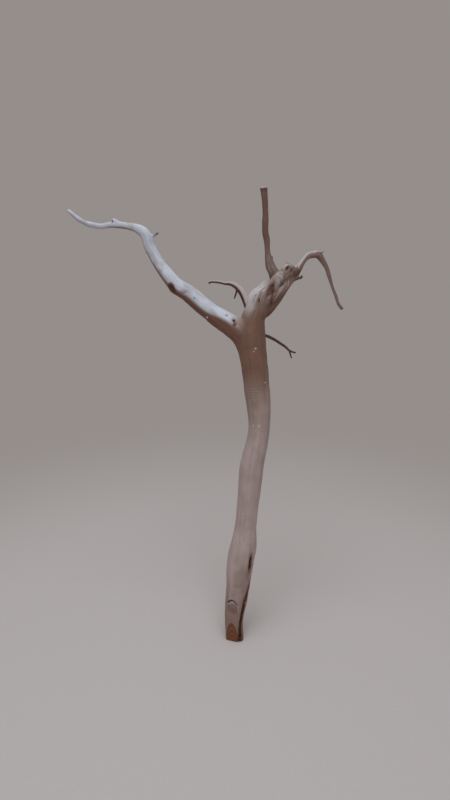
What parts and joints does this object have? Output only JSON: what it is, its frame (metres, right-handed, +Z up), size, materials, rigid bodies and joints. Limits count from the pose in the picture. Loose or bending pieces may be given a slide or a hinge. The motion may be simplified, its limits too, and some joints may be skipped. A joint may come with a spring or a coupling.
{
  "type": "driftwood tabletop tree",
  "caption": "Bare bleached driftwood tree: a leaning trunk with a long crooked limb, an upright stem, an arched limb and thin twigs, joined with dowels and tenons.",
  "frame": {"origin": "centre of the flat sawn foot, on the surface that the tree stands on", "axes": "+Z up, +X to the right of the tree as seen from its front, +Y to its back, the way the trunk leans"},
  "size_m": [0.373, 0.2116, 0.5495],
  "materials": {
    "bare_wood": "bare weathered wood, matt, brown above and grey below",
    "bleached_wood": "bleached weathered wood, matt, brown underneath",
    "twig_wood": "dark thin twig wood, matt",
    "old_bark": "old red-brown bark, rough",
    "dowel_wood": "plain turned beech",
    "brad_steel": "dull dark steel"
  },
  "bodies": {
    "root": {"trunk": "bare_wood", "bark_strip": "old_bark", "left_limb": "bleached_wood", "left_limb_dowel": "dowel_wood", "left_limb_brad": "brad_steel", "upright_stem": "bare_wood", "upright_stem_dowel": "dowel_wood", "broken_stub": "bare_wood", "right_limb": "bare_wood", "right_limb_dowel": "dowel_wood", "curled_twig": "twig_wood", "drooping_twig": "twig_wood"}
  },
  "joints": []
}
